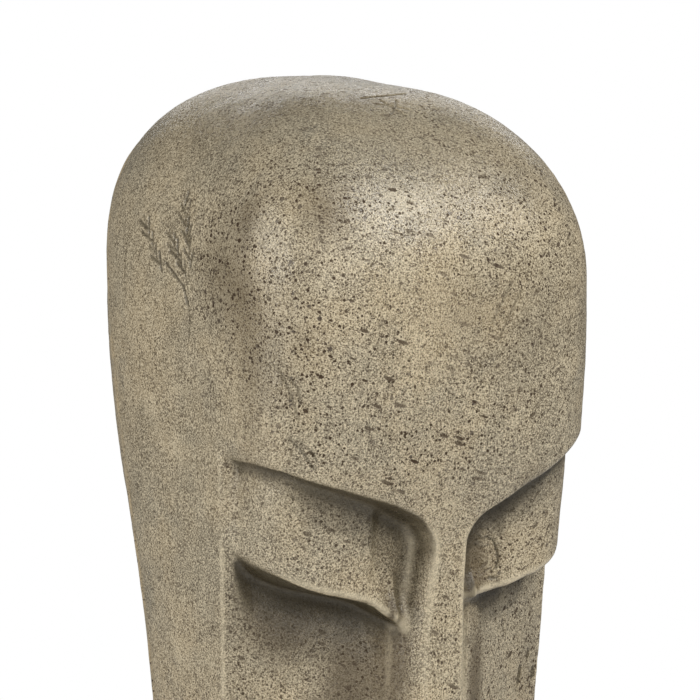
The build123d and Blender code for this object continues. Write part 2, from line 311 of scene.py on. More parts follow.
def lower_face(x, y, z):
    """Distance to the mouth and chin."""
    bow = CUPID_BOW * np.exp(-((np.abs(x) / 16) ** 2))
    upper = ellipsoid(x, y, z + bow, *UPPER_LIP)
    lower = ellipsoid(x, y, z, *LOWER_LIP)
    muzzle = union(ellipsoid(x, y, z, *MUZZLE), union(upper, lower, 1.2), 3.5)
    return union(muzzle, rounded_block(x, y, z, *CHIN), 12.0)


def head(x, y, z):
    """Distance to the head without its hollow."""
    side = np.abs(x)
    form = blunt_form(x, y, z, FORM, HEIGHT)
    away = ((x - CROWN_FLAT[0]) ** 2 + (y - CROWN_FLAT[1]) ** 2) / CROWN_FLAT_SPREAD**2
    form = form + CROWN_FLAT_DEPTH * np.exp(-away)
    brow_z = by_side(x, curve_through(BROW, side), curve_through(BROW_RIGHT, side))
    lid_z = by_side(x, curve_through(LID, side), curve_through(LID_RIGHT, side))
    inside = np.maximum(-form, 0)
    above_brow = (brow_z - BROW_DROP * inside - z) / math.hypot(1, BROW_DROP)
    cheek = cheek_field(x, y, z, lid_z)
    depth = eye_depth(side, y, z, brow_z, lid_z)
    eye = overlap(form + depth, (lid_z - z) * 0.9, LID_ROUND)
    nose = nose_field(x, y, z)

    keep = union(above_brow, nose, BROW_FILLET)
    on_cheek = np.clip((cheek - np.minimum(keep, eye)) / 10 + 0.5, 0, 1)
    cove = np.clip(0.45 * depth, *COVE_RANGE)
    keep = union(keep, union(cheek, eye, 3.0), cove)
    keep = union(keep, lower_face(x, y, z), 6.0)
    return overlap(form, keep, BROW_ROUND + on_cheek * CHEEK_ROUND)


def hollow(x, y, z):
    """Distance to the hollow inside the casting, open at the foot."""
    return blunt_form(x, y, z, HOLLOW, HEIGHT - WALL)


# ---------------------------------------- noise for weathering
def lattice_noise(points, cell, seed):
    """Smooth noise from -1 to 1 with the given cell size, at an array of points."""
    wrap = 64
    values = np.random.RandomState(seed).uniform(-1, 1, (wrap, wrap, wrap)).astype(np.float32)
    p = points / cell + 1000.0
    i = np.floor(p).astype(int)
    t = fade(p - i)
    total = 0
    for corner in range(8):
        step = np.array([corner & 1, corner >> 1 & 1, corner >> 2 & 1])
        weight = np.prod(np.where(step, t, 1 - t), axis=1)
        at = (i + step) % wrap
        total = total + weight * values[at[:, 0], at[:, 1], at[:, 2]]
    return total


# ---------------------------------------- meshing
def mesh_field(field, low, high, voxel):
    """Corner points and quads of a field's zero surface, sampled on a grid."""
    axes = [np.arange(a, b + voxel, voxel, dtype=np.float32) for a, b in zip(low, high)]
    x = axes[0][:, None, None]
    y = axes[1][None, :, None]
    z = axes[2][None, None, :]
    values = field(x, y, z).astype(np.float32)
    limit = 3 * voxel
    grid = openvdb.FloatGrid(limit)
    grid.copyFromArray(np.clip(values, -limit, limit), tolerance=0.0)
    grid.gridClass = openvdb.GridClass.LEVEL_SET
    points, quads = grid.convertToQuads(0.0)
    points = points * voxel + np.array([a[0] for a in axes])
    return points.astype(np.float64), quads


def field_at(field, points):
    """A field's value at an array of points."""
    p = points.astype(np.float32)
    return field(p[:, 0], p[:, 1], p[:, 2])


def field_normals(field, points, step=0.8):
    """Outward unit normals of a field at an array of points."""
    n = np.zeros_like(points)
    for axis in range(3):
        shift = np.zeros(3)
        shift[axis] = step
        n[:, axis] = field_at(field, points + shift) - field_at(field, points - shift)
    return n / np.maximum(np.linalg.norm(n, axis=1, keepdims=True), 1e-9)


def settle(field, points, rounds=2):
    """Moves points onto a field's zero surface."""
    for _ in range(rounds):
        n = field_normals(field, points)
        points = points - n * np.clip(field_at(field, points), -2, 2)[:, None]
    return points


def new_object(name, points_mm, faces):
    """A smooth-shaded mesh object from millimetre points."""
    mesh = bpy.data.meshes.new(name)
    mesh.from_pydata((points_mm * MM).tolist(), [], [list(f) for f in faces])
    mesh.update()
    mesh.shade_smooth()
    obj = bpy.data.objects.new(name, mesh)
    bpy.context.collection.objects.link(obj)
    return obj


def add_values(obj, name, values):
    """A named value for each corner point, which the materials read."""
    layer = obj.data.attributes.new(name, "FLOAT", "POINT")
    layer.data.foreach_set("value", values.astype(np.float32))


# ---------------------------------------- marks left in the surface
# width, depth and course of each groove in the moulded surface, millimetres
GROOVES = [
    (1.7, 0.8, [(-122, 14, 654), (-122, 5, 648), (-122, -5, 641), (-122, -9, 632)]),
    (1.2, 0.5, [(-122, -9, 632), (-122, -12, 623), (-122, -11, 612)]),
    (1.4, 0.5, [(-110, -89, 599), (-108, -93, 590), (-106, -95, 582), (-103, -98, 570)]),
    (1.2, 0.5, [(-107, -93, 595), (-103, -98, 588), (-102, -98, 579)]),
    (1.5, 0.6, [(-106, -92, 558), (-101, -97, 552), (-96, -98, 546), (-92, -98, 541)]),
    (1.2, 0.5, [(-101, -97, 556), (-95, -100, 551), (-91, -100, 545)]),
    (1.3, 0.5, [(31, -125, 645), (24, -126, 634), (17, -126, 622)]),
    (1.2, 0.45, [(38, -125, 640), (31, -126, 628), (22, -126, 612)]),
    (1.2, 0.45, [(20, -126, 633), (27, -126, 621)]),
    (1.3, 0.6, [(-14, -36, 752), (-1, -34, 752), (12, -32, 752), (22, -30, 752)]),
    (1.2, 0.5, [(-3, -40, 749), (-1, -50, 745), (2, -58, 740)]),
    (1.2, 0.5, [(8, -40, 749), (2, -48, 746), (-6, -55, 742)]),
    (1.1, 0.45, [(-10, -44, 748), (0, -47, 746), (9, -52, 743)]),
    (1.0, 0.6, [(33, -88, 492), (36, -89, 489), (39, -90, 490), (42, -91, 488)]),
    (0.9, 0.5, [(34, -88, 497), (37, -89, 495), (41, -90, 496)]),
    (0.9, 0.5, [(32, -88, 486), (36, -89, 484), (40, -90, 485)]),
    (1.0, 0.8, [(42, -91, 488), (44, -92, 482), (45, -92, 476), (44, -92, 471)]),
    (1.4, 0.9, [(40, -91, 466), (45, -91, 465)]),
    (2.6, 1.6, [(89, -47, 396), (90, -46, 404)]),
    (3.2, 1.7, [(106, -38, 398), (106, -38, 401)]),
    (2.4, 1.2, [(98, -42, 410), (99, -42, 413)]),
    (1.6, 0.8, [(-102, -83, 541), (-100, -86, 538)]),
]
# sprigs pressed into the left temple: foot and tip, number and length of the blades
SPRIGS = [
    ((-122, -10, 662), (-114, 8, 698), 7, 11),
    ((-122, -8, 646), (-120, 14, 674), 8, 11),
    ((-122, 17, 648), (-118, 44, 680), 8, 10),
    ((-122, -12, 652), (-121, -4, 676), 5, 10),
]


def sprig(foot, tip, blades, length, random):
    """Grooves of one sprig: a fine stem with narrow blades on both sides."""
    foot, tip = Vector(foot), Vector(tip)
    way = (tip - foot).normalized()
    across = way.cross(Vector((1, 0, 0))).normalized()
    grooves = [(0.9, 0.45, [foot.lerp(tip, t / 4) for t in range(5)])]
    for i in range(blades):
        start = foot.lerp(tip, (i + 0.6) / (blades + 0.4) * 0.85)
        lean = random.uniform(0.35, 0.62) * (1 if i % 2 else -1)
        reach = length * random.uniform(0.7, 1.15)
        end = start + (way + across * lean).normalized() * reach
        width = random.uniform(1.1, 1.8)
        grooves.append((width, 0.55 * width, [start, start.lerp(end, 0.5), end]))
    return grooves


def all_grooves():
    """Every scratch, pit and sprig, its course laid onto the head."""
    random = np.random.RandomState(11)
    grooves = list(GROOVES)
    for foot, tip, blades, length in SPRIGS:
        grooves += sprig(foot, tip, blades, length, random)
    laid = []
    for width, depth, course in grooves:
        course = settle(head, np.array([list(p) for p in course], dtype=float), rounds=6)
        laid.append((width, depth, course))
    return laid


def distance_to_course(points, course):
    """Distance from each point to the nearest part of a run of straight pieces."""
    best = np.full(len(points), 1e9)
    for a, b in zip(course[:-1], course[1:]):
        way = b - a
        t = np.clip((points - a) @ way / max(way @ way, 1e-9), 0, 1)
        best = np.minimum(best, np.linalg.norm(points - a - t[:, None] * way, axis=1))
    return best


def groove_depth(points, grooves):
    """How deep the grooves are at each point."""
    depth = np.zeros(len(points))
    for width, deep, course in grooves:
        middle = course.mean(axis=0)
        reach = np.linalg.norm(course - middle, axis=1).max() + width + 1
        near = np.flatnonzero(np.linalg.norm(points - middle, axis=1) < reach)
        if len(near) == 0:
            continue
        away = distance_to_course(points[near], course)
        here = deep * fade(1.15 - away / width)
        depth[near] = np.maximum(depth[near], here)
    return depth


# ---------------------------------------- the casting
SEAM_HALF = 1.6  # half the width of the filler bead
FOOT_ROUND = 2.5  # rounding of the outer edge of the foot
# wear of the smooth form: cell of each noise, its share, seed
WEAR = [(62, 0.55, 1), (24, 0.28, 2), (8, 0.17, 3)]
WEAR_MEAN = 0.55
PIT_CELL = 3.6
PIT_DEPTH = 0.12
# looking round a point: how far, and its share, for hollows and for ledges above
HOLLOW_REACHES = [(4.0, 0.1), (10.0, 0.35), (24.0, 0.55)]
LEDGE_REACHES = [(4.0, 0.2), (9.0, 0.25), (16.0, 0.2), (26.0, 0.2), (38.0, 0.15)]
BOX_INSET = 0.05  # the wear keeps this far inside the CAD box
# spacing of the grids that the outer form and the hollow are sampled on
OUTER_VOXEL = 2.5
HOLLOW_VOXEL = 6.0
# how far the sampling grid reaches from the middle, and past the top and the floor
GRID_X = 127
GRID_Y = 132
GRID_MARGIN = 4
GROOVE_CUTS = 2  # how often an edge under a groove is divided
SHARP_ANGLE = 1.0  # radians between faces, above which their edge stays sharp


def refine(bm, grooves):
    """Divides the faces under the grooves, so the mesh can hold them."""
    bm.verts.ensure_lookup_table()
    points = np.array([v.co for v in bm.verts]) / MM
    near = np.zeros(len(points), dtype=bool)
    for width, _, course in grooves:
        middle = course.mean(axis=0)
        reach = np.linalg.norm(course - middle, axis=1).max() + width + 2
        some = np.flatnonzero(np.linalg.norm(points - middle, axis=1) < reach)
        if len(some):
            near[some] |= distance_to_course(points[some], course) < width + 1.2
    edges = {e for i in np.flatnonzero(near) for e in bm.verts[i].link_edges}
    edges = sorted(edges, key=lambda e: e.index)
    bmesh.ops.subdivide_edges(bm, edges=edges, cuts=GROOVE_CUTS, use_grid_fill=True)


def weathered(points, grooves):
    """Points moved inwards by wear, grooves and the rounded foot."""
    points = settle(head, points)
    n = field_normals(head, points)
    worn = sum(share * lattice_noise(points, cell, seed) for cell, share, seed in WEAR)
    depth = WEAR_MEAN - 0.5 * worn
    depth = depth + PIT_DEPTH - PIT_DEPTH * lattice_noise(points, PIT_CELL, seed=4)
    depth = depth + groove_depth(points, grooves)
    low = np.clip((FOOT_H + FOOT_ROUND - points[:, 2]) / FOOT_ROUND, 0, 1)
    depth = depth + FOOT_ROUND * (1 - np.sqrt(1 - low * low))
    points = points - n * depth[:, None]
    low_mm = np.array(cad_low) / MM + BOX_INSET
    high_mm = np.array(cad_high) / MM - BOX_INSET
    return np.clip(points, low_mm, high_mm)


def surface_values(points):
    """Raised edges, for wear with a painted edge highlight; hollows and ledges above, for painted
    shade.
    """
    n = field_normals(head, points)
    edge = 4.0 + field_at(head, points - 4.0 * n)
    hollow_shade = 0
    for reach, share in HOLLOW_REACHES:
        gap = reach - field_at(head, points + reach * n)
        hollow_shade = hollow_shade + share * np.clip(gap / (0.6 * reach), 0, 1)
    shelter = 0
    for reach, share in LEDGE_REACHES:
        above = points + (1.0 + 0.25 * reach) * n + np.array([0, 0, reach])
        shelter = shelter + share * np.clip(-field_at(head, above) / 2.5, 0, 1)
    return {
        "wear": np.clip(edge / 1.6, 0, 1),
        "cavity": np.clip(hollow_shade, 0, 1),
        "shelter": shelter,
    }


# painted highlights (positive) and painted shade (negative), with some rubbed pale and stained dark
# places among them: middle, spread, strength
PAINTED_LIGHT_AND_STAINS = [
    # painted highlight on the left corner of the forehead
    ((-105, -76, 665), (11, 12, 24), 1.0),
    ((-117, -39, 650), (16, 19, 36), -0.75),
    ((-115, -60, 644), (10, 14, 22), -0.6),
    ((-111, -60, 686), (13, 13, 20), -0.7),
    ((-119, -70, 600), (9, 16, 80), -0.5),
    ((-90, -86, 702), (34, 30, 22), -0.4),
    ((-38, -120, 609), (16, 12, 34), 0.3),
    # painted highlight on the forehead
    ((-30, -110, 694), (30, 30, 12), 0.5),
    ((-100, -88, 614), (30, 30, 40), -0.45),
    ((-84, -103, 690), (22, 18, 24), -0.6),
    ((-114, -52, 528), (12, 20, 26), -0.4),
    ((-70, -118, 574), (12, 14, 30), 0.35),
    ((-95, -100, 520), (25, 25, 16), 0.25),
    ((-4, -126, 632), (22, 14, 30), -0.3),
    ((45, -114, 620), (40, 30, 46), -0.55),
    ((49, -102, 702), (26, 26, 18), -0.4),
    ((-60, -16, 745), (34, 34, 16), -0.5),
    ((-95, 20, 730), (16, 24, 14), -0.3),
    ((-14, -36, 752), (14, 12, 10), -0.6),
    ((-18, -97, 497), (9, 14, 14), 1.2),
    ((-56, -100, 510), (36, 14, 12), -0.4),
    ((24, -94, 478), (10, 16, 28), -1.6),
    ((38, -78, 402), (10, 14, 40), -1.3),
    ((35, -86, 470), (9, 14, 18), -0.8),
    ((52, -90, 512), (20, 16, 12), -0.5),
    ((56, -113, 526), (14, 14, 14), -0.6),
    ((69, -66, 453), (14, 20, 16), 0.6),
    ((-29, -88, 425), (10, 14, 40), -1.7),
    ((-47, -70, 405), (15, 18, 36), -1.4),
    ((-68, -60, 385), (14, 16, 18), -0.8),
    ((-80, -50, 442), (26, 26, 22), -1.4),
    ((-104, -40, 462), (12, 24, 16), -0.5),
    ((96, -46, 400), (20, 40, 60), -0.45),
    ((0, -102, 420), (12, 12, 40), 0.3),
]
# where dark spatter is thick: middle, spread, strength
SPLASHES = [
    ((-116, -46, 652), (20, 26, 40), 1.2),
    ((-100, -88, 612), (30, 30, 44), 0.8),
    ((-70, -82, 704), (44, 44, 26), 0.5),
    ((-40, -120, 560), (60, 30, 40), 0.35),
    ((50, -100, 680), (60, 40, 34), 0.35),
    ((90, -50, 430), (60, 40, 60), 0.3),
]


def soft_places(points, places):
    """Sum of soft blobs, each a middle, spread and strength, at each point."""
    total = np.zeros(len(points))
    for middle, spread, strength in places:
        away = ((points - np.array(middle)) / np.array(spread)) ** 2
        total = total + strength * np.exp(-away.sum(axis=1))
    return total


def everything(bm):
    """All the corners, edges and faces of a mesh."""
    return bm.verts[:] + bm.edges[:] + bm.faces[:]


def cut_level(bm, height, clear_below):
    """Cuts a mesh at a height in millimetres, and may drop what lies below."""
    bmesh.ops.bisect_plane(
        bm,
        geom=everything(bm),
        plane_co=(0, 0, height * MM),
        plane_no=(0, 0, 1),
        clear_inner=clear_below,
    )


def cut_and_fill(bm, place, normal, keep_inner):
    """Cuts a mesh with a plane, keeps one side and closes the cut."""
    cut = bmesh.ops.bisect_plane(
        bm,
        geom=everything(bm),
        plane_co=Vector(place) * MM,
        plane_no=normal,
        clear_outer=keep_inner,
        clear_inner=not keep_inner,
    )
    rim = [e for e in cut["geom_cut"] if isinstance(e, bmesh.types.BMEdge)]
    bmesh.ops.triangle_fill(bm, edges=rim, use_beauty=True)


def corners_mm(mesh):
    """The corner points of a mesh, in millimetres."""
    flat = np.zeros(3 * len(mesh.vertices))
    mesh.vertices.foreach_get("co", flat)
    return flat.reshape(-1, 3) / MM


def make_outer(low, high):
    """The outer surface, weathered and open at the foot, with its material's values."""
    grooves = all_grooves()
    outer = new_object("casting", *mesh_field(head, low, high, OUTER_VOXEL))
    bm = bmesh.new()
    bm.from_mesh(outer.data)
    refine(bm, grooves)
    cut_level(bm, FOOT_H + FOOT_ROUND, clear_below=False)
    cut_level(bm, FOOT_H, clear_below=True)
    bm.to_mesh(outer.data)
    bm.free()
    smooth = corners_mm(outer.data)
    points = weathered(smooth, grooves)
    points[:, 2] = np.where(smooth[:, 2] < FOOT_H + 0.01, FOOT_H, points[:, 2])
    outer.data.vertices.foreach_set("co", (points * MM).ravel())
    for name, values in surface_values(settle(head, smooth)).items():
        add_values(outer, name, values)
    add_values(outer, "tone", soft_places(smooth, PAINTED_LIGHT_AND_STAINS))
    add_values(outer, "splash", soft_places(smooth, SPLASHES))
    add_values(outer, "mark", np.clip(groove_depth(smooth, grooves) / 0.8, 0, 1))
    return outer


def make_inner(low, high):
    """The surface of the hollow, open at the foot and facing inwards."""
    inner = new_object("inside", *mesh_field(hollow, low, high, HOLLOW_VOXEL))
    bm = bmesh.new()
    bm.from_mesh(inner.data)
    cut_level(bm, FOOT_H, clear_below=True)
    for v in bm.verts:
        if v.co.z < FOOT_H * MM + 1e-6:
            v.co.z = FOOT_H * MM
    bmesh.ops.reverse_faces(bm, faces=bm.faces[:])
    bm.to_mesh(inner.data)
    bm.free()
    return inner


def make_casting():
    """The whole casting, hollow and open at the foot, as one mesh object."""
    low = (-GRID_X, -GRID_Y, -GRID_MARGIN)
    high = (GRID_X, GRID_Y, HEIGHT + GRID_MARGIN)
    outer = make_outer(low, high)
    inner = make_inner(low, high)
    bm = bmesh.new()
    bm.from_mesh(outer.data)
    bm.from_mesh(inner.data)
    rim = [e for e in bm.edges if e.is_boundary]
    bmesh.ops.triangle_fill(bm, edges=rim, use_beauty=True)
    bm.to_mesh(outer.data)
    bm.free()
    bpy.data.objects.remove(inner)
    return outer


def halves():
    """The front and back halves, cut along the sloping parting plane."""
    whole = make_casting()
    normal = Vector((0, 1, -PART_SLOPE)).normalized()
    made = []
    for name, is_front in (("front_half", True), ("back_half", False)):
        half = bpy.data.objects.new(name, whole.data.copy())
        bpy.context.collection.objects.link(half)
        bm = bmesh.new()
        bm.from_mesh(half.data)
        cut_and_fill(bm, (0, PART_Y0, 0), normal, keep_inner=is_front)
        bmesh.ops.recalc_face_normals(bm, faces=bm.faces[:])
        for face in bm.faces:
            face.smooth = True
        for edge in bm.edges:
            if len(edge.link_faces) == 2 and edge.calc_face_angle(0) > SHARP_ANGLE:
                edge.smooth = False
        bm.to_mesh(half.data)
        bm.free()
        made.append(half)
    bpy.data.objects.remove(whole)
    return made


# ---------------------------------------- the joint of the two halves
SEAM_MIDDLE_Z = 400.0
SEAM_RAYS = 2400
SEAM_RAY_ANGLE = 2.9  # radians each side of straight up, which leaves out the open foot
BEAD_DEPTH = 2.4


def seam_outline(step):
    """Points where the parting plane meets the form, foot to foot over the crown."""
    angles = np.linspace(-SEAM_RAY_ANGLE, SEAM_RAY_ANGLE, SEAM_RAYS)
    ways = np.stack([np.sin(angles), PART_SLOPE * np.cos(angles), np.cos(angles)], axis=1)
    centre = np.array([0, PART_Y0 + PART_SLOPE * SEAM_MIDDLE_Z, SEAM_MIDDLE_Z])
    near = np.full(len(angles), 20.0)
    far = np.full(len(angles), 480.0)
    for _ in range(28):
        half_way = (near + far) / 2
        inside = field_at(head, centre + ways * half_way[:, None]) < 0
        near = np.where(inside, half_way, near)
        far = np.where(inside, far, half_way)
    line = centre + ways * near[:, None]
    line = line[line[:, 2] > FOOT_H + 3]
    along = np.concatenate([[0], np.cumsum(np.linalg.norm(np.diff(line, axis=0), axis=1))])
    at = np.linspace(0, along[-1], int(along[-1] / step))
    return np.stack([np.interp(at, along, line[:, k]) for k in range(3)], axis=1)


def seam_bead():
    """The bead of filler that hides the joint, rubbed down nearly flush."""
    line = seam_outline(2.0)
    across = np.array([0, 1, -PART_SLOPE]) / math.hypot(1, PART_SLOPE)
    offsets = SEAM_HALF * np.array([-1, -0.7, -0.35, 0, 0.35, 0.7, 1])
    rings = []
    for offset in offsets:
        on = settle(head, line + across * offset, rounds=3)
        n = field_normals(head, on)
        round_off = 1 - (offset / SEAM_HALF) ** 2
        rough = 0.12 * lattice_noise(on, 6, 21)
        height = 0.42 * round_off - 0.25 + rough
        rings.append(on + n * height[:, None])
    for offset in (SEAM_HALF, -SEAM_HALF):
        on = settle(head, line + across * offset, rounds=3)
        rings.append(on - field_normals(head, on) * BEAD_DEPTH)
    count, sides = len(line), len(rings)
    points = np.stack(rings, axis=1).reshape(-1, 3)
    low_mm = np.array(cad_low) / MM
    high_mm = np.array(cad_high) / MM
    points = np.clip(points, low_mm, high_mm)
    faces = []
    for i in range(count - 1):
        for k in range(sides):
            j = (k + 1) % sides
            faces.append((i * sides + k, i * sides + j, (i + 1) * sides + j, (i + 1) * sides + k))
    faces.append(tuple(range(sides)))
    faces.append(tuple((count - 1) * sides + k for k in reversed(range(sides))))
    bead = new_object("seam_bead", points, faces)
    bm = bmesh.new()
    bm.from_mesh(bead.data)
    bmesh.ops.recalc_face_normals(bm, faces=bm.faces[:])
    bm.to_mesh(bead.data)
    bm.free()
    return bead


front_half, back_half = halves()
bead = seam_bead()
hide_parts("front_shell")
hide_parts("back_shell")
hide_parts("seam_filler")
for piece, slot in ((front_half, "cast_stone"), (back_half, "cast_stone"), (bead, "filler")):
    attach(piece, "statue")


# ---------------------------------------- materials
class Nodes:
    """Adds shader nodes to one new material and joins them."""

    def __init__(self, name):
        """Starts the material with its shader and its coordinates."""
        self.material = bpy.data.materials.new(name)
        self.material.use_nodes = True
        self.tree = self.material.node_tree
        self.shader = self.tree.nodes["Principled BSDF"]
        self.place = self.add("TexCoord").outputs["Object"]

    def put(self, socket, value):
        """Links a socket to another, or gives it a value."""
        if isinstance(value, bpy.types.NodeSocket):
            self.tree.links.new(value, socket)
        else:
            socket.default_value = value

    def add(self, kind, inputs=None, **settings):
        """Adds a shader node of the given kind, with its settings and inputs."""
        made = self.tree.nodes.new("ShaderNode" + kind)
        for key, value in settings.items():
            setattr(made, key, value)
        for key, value in (inputs or {}).items():
            self.put(made.inputs[key], value)
        return made

    def noise(self, scale, detail=2.0, roughness=0.5, at=None):
        """Noise from 0 to 1, mostly near 0.5."""
        inputs = {
            "Vector": at or self.place,
            "Scale": scale,
            "Detail": detail,
            "Roughness": roughness,
        }
        return self.add("TexNoise", inputs).outputs["Fac"]

    def dots(self, scale, small, large, at=None):
        """Dots of mixed sizes, at most one to a cell: 1 inside, 0 outside."""
        cells = self.add("TexVoronoi", {"Vector": at or self.place, "Scale": scale})
        pick = self.add("SeparateColor", {"Color": cells.outputs["Color"]}).outputs["Red"]
        radius = self.step(pick, 0.0, 1.0, small, large, smooth=False)
        gap = self.maths("SUBTRACT", radius, cells.outputs["Distance"])
        return self.step(gap, 0.0, 0.09)

    def step(self, value, low, high, out_low=0.0, out_high=1.0, smooth=True):
        """Takes the range from low to high onto the range from out_low to out_high."""
        inputs = {
            "Value": value,
            "From Min": low,
            "From Max": high,
            "To Min": out_low,
            "To Max": out_high,
        }
        kind = "SMOOTHSTEP" if smooth else "LINEAR"
        return self.add("MapRange", inputs, interpolation_type=kind).outputs["Result"]

    def maths(self, operation, a, b=0.0, clamp=False):
        """One sum of two values or sockets."""
        made = self.add("Math", operation=operation, use_clamp=clamp)
        self.put(made.inputs[0], a)
        self.put(made.inputs[1], b)
        return made.outputs[0]

    def blend(self, factor, a, b):
        """A value between a and b."""
        made = self.add("Mix", {0: factor, 2: a, 3: b}, data_type="FLOAT")
        return made.outputs[0]

    def mix(self, factor, a, b):
        """A colour between a and b."""
        made = self.add("Mix", data_type="RGBA")
        for index, value in ((0, factor), (6, a), (7, b)):
            self.put(made.inputs[index], value)
        return made.outputs[2]

    def stretched(self, angle, squeeze, at=None):
        """Coordinates turned about Y and squeezed along X, to draw long marks."""
        turned = self.add(
            "VectorRotate",
            {"Vector": at or self.place, "Angle": angle},
            rotation_type="Y_AXIS",
        )
        inputs = {"Vector": turned.outputs[0], "Scale": (squeeze, 1, 1)}
        return self.add("Mapping", inputs).outputs[0]

    def nudged(self, scale, amount, at=None):
        """Coordinates shifted a little by noise, for ragged outlines."""
        noise = self.add("TexNoise", {"Vector": at or self.place, "Scale": scale, "Detail": 1.0})
        centred = self.add("VectorMath", operation="SUBTRACT")
        self.put(centred.inputs[0], noise.outputs["Color"])
        self.put(centred.inputs[1], (0.5, 0.5, 0.5))
        scaled = self.add("VectorMath", operation="SCALE")
        self.put(scaled.inputs[0], centred.outputs[0])
        self.put(scaled.inputs["Scale"], amount)
        moved = self.add("VectorMath", operation="ADD")
        self.put(moved.inputs[0], at or self.place)
        self.put(moved.inputs[1], scaled.outputs[0])
        return moved.outputs[0]

    def attribute(self, name):
        """A value stored on the mesh by add_values."""
        return self.add("Attribute", attribute_name=name).outputs["Fac"]

    def finish(self, colour, roughness, height, depth):
        """Joins the colour, the roughness and the fine relief to the shader."""
        self.put(self.shader.inputs["Base Color"], colour)
        self.put(self.shader.inputs["Roughness"], roughness)
        relief = self.add("Bump", {"Height": height, "Distance": depth, "Strength": 1.0})
        self.put(self.shader.inputs["Normal"], relief.outputs[0])
        return self.material


STONE_TAN = (0.53, 0.426, 0.27, 1)
STONE_GREY = (0.385, 0.328, 0.228, 1)
STONE_PALE = (0.87, 0.745, 0.515, 1)
STONE_DARK = (0.102, 0.071, 0.034, 1)
SPATTER = (0.045, 0.021, 0.004, 1)
BLOT = (0.05, 0.031, 0.022, 1)
# brown of the painted shade in hollows, grooves and under ledges
PAINTED_SHADE = (0.052, 0.039, 0.018, 1)
SMUDGE = (0.2, 0.185, 0.15, 1)
# colour of the painted shade on upward faces
TOP_SHADE = (0.12, 0.112, 0.086, 1)


def stone_ground(n, clouds, sideways):
    """Tan and grey patches, pale and dark clouds, smudges and the streaks of the mould."""
    patches = n.step(n.noise(13, 5, 0.62), 0.38, 0.62)
    colour = n.mix(patches, STONE_TAN, STONE_GREY)
    colour = n.mix(n.step(clouds, 0.5, 0.8, 0.0, 0.5), colour, STONE_PALE)
    colour = n.mix(n.step(clouds, 0.5, 0.22, 0.0, 0.45), colour, STONE_DARK)
    smudge = n.step(n.noise(26, 6, 0.7, at=n.stretched(0.9, 0.5)), 0.56, 0.72, 0.0, 0.6)
    colour = n.mix(smudge, colour, SMUDGE)
    run = n.add("Mapping", {"Vector": n.place, "Scale": (1, 1, 0.06)}).outputs[0]
    streaks = n.step(n.noise(260, 3, 0.6, at=run), 0.55, 0.75, 0.0, 0.5)
    return n.mix(n.maths("MULTIPLY", streaks, sideways), colour, STONE_DARK)


def stone_grain(n, colour, grain):
    """Pale and dark grains all over the ground."""
    colour = n.mix(n.step(grain, 0.5, 0.6, 0.0, 0.85), colour, STONE_PALE)
    return n.mix(n.step(grain, 0.47, 0.37, 0.0, 0.9), colour, STONE_DARK)


def spatter_density(n, facing, sideways):
    """Thickness of the dark spatter: in crowds, less on the sides, none underneath."""
    upwards = n.maths("MAXIMUM", facing["Z"], 0.0)
    bare = n.maths("MULTIPLY", sideways, 0.45)
    bare = n.maths("ADD", bare, n.maths("MULTIPLY", upwards, 0.2))
    splash = n.step(n.attribute("splash"), 0.0, 1.0, 0.0, 0.9, smooth=False)
    crowd = n.step(n.noise(17, 3, 0.6), 0.3, 0.6, 0.3, 0.75)
    crowded = n.maths("ADD", crowd, splash)
    bare = n.maths("MULTIPLY", bare, n.maths("SUBTRACT", 1.0, splash))
    where = n.maths("SUBTRACT", crowded, bare, clamp=True)
    downwards = n.step(facing["Z"], -0.2, -0.55)
    where = n.maths("MULTIPLY", where, n.maths("SUBTRACT", 1.0, downwards))
    return n.maths("MULTIPLY", where, n.step(n.attribute("cavity"), 0.2, 0.55, 1.0, 0.25))


def fine_spatter(n, where):
    """Round specks, dust, and drops drawn out: falling, and past the nose rising."""
    ragged = n.nudged(900, 0.001)
    pepper = n.dots(400, -0.25, 0.46, at=ragged)
    dust = n.dots(760, -0.15, 0.52, at=n.nudged(1500, 0.0006))
    rising = n.dots(270, -0.4, 0.42, at=n.stretched(0.6, 0.36, at=ragged))
    falling = n.dots(270, -0.4, 0.42, at=n.stretched(-0.36, 0.3, at=ragged))
    across = n.add("SeparateXYZ", {"Vector": n.place}).outputs["X"]
    long_dots = n.blend(n.step(across, 0.02, 0.05), falling, rising)
    long_dots = n.maths("MULTIPLY", long_dots, where)
    pepper = n.maths("MULTIPLY", pepper, n.step(where, 0.0, 1.0, 0.5, 1.0))
    dust = n.maths("MULTIPLY", dust, n.step(where, 0.0, 1.0, 0.55, 0.85))
    return n.maths("MAXIMUM", n.maths("MAXIMUM", long_dots, pepper), dust)


def stone_wear_and_painted_shade(n, colour, clouds, tone):
    """Pale worn edges with a painted edge highlight, then painted shade in hollows, scratches and
    under ledges.
    """
    # raised edges paled: wear, and also a painted highlight along the brow and lid edges
    colour = n.mix(n.step(n.attribute("wear"), 0.05, 0.7, 0.0, 0.65), colour, STONE_PALE)
    # painted shade: hollows darkened by how deep they are
    in_hollows = n.maths("ADD", n.attribute("cavity"), n.step(clouds, 0.3, 0.7, -0.08, 0.08))
    colour = n.mix(n.step(in_hollows, 0.06, 0.8, 0.0, 0.6), colour, PAINTED_SHADE)
    # painted shade under ledges such as the brow and the lids, lessened where the tone is pale
    shade = n.maths("ADD", n.attribute("shelter"), n.step(clouds, 0.3, 0.7, -0.1, 0.1))
    shade = n.maths("SUBTRACT", shade, n.step(tone, 0.0, 1.0, 0.0, 0.3))
    colour = n.mix(n.step(shade, 0.05, 0.8, 0.0, 0.85), colour, PAINTED_SHADE)
    # painted shade inside the grooves, scratches and sprig marks
    return n.mix(n.maths("MULTIPLY", n.attribute("mark"), 0.75), colour, PAINTED_SHADE)


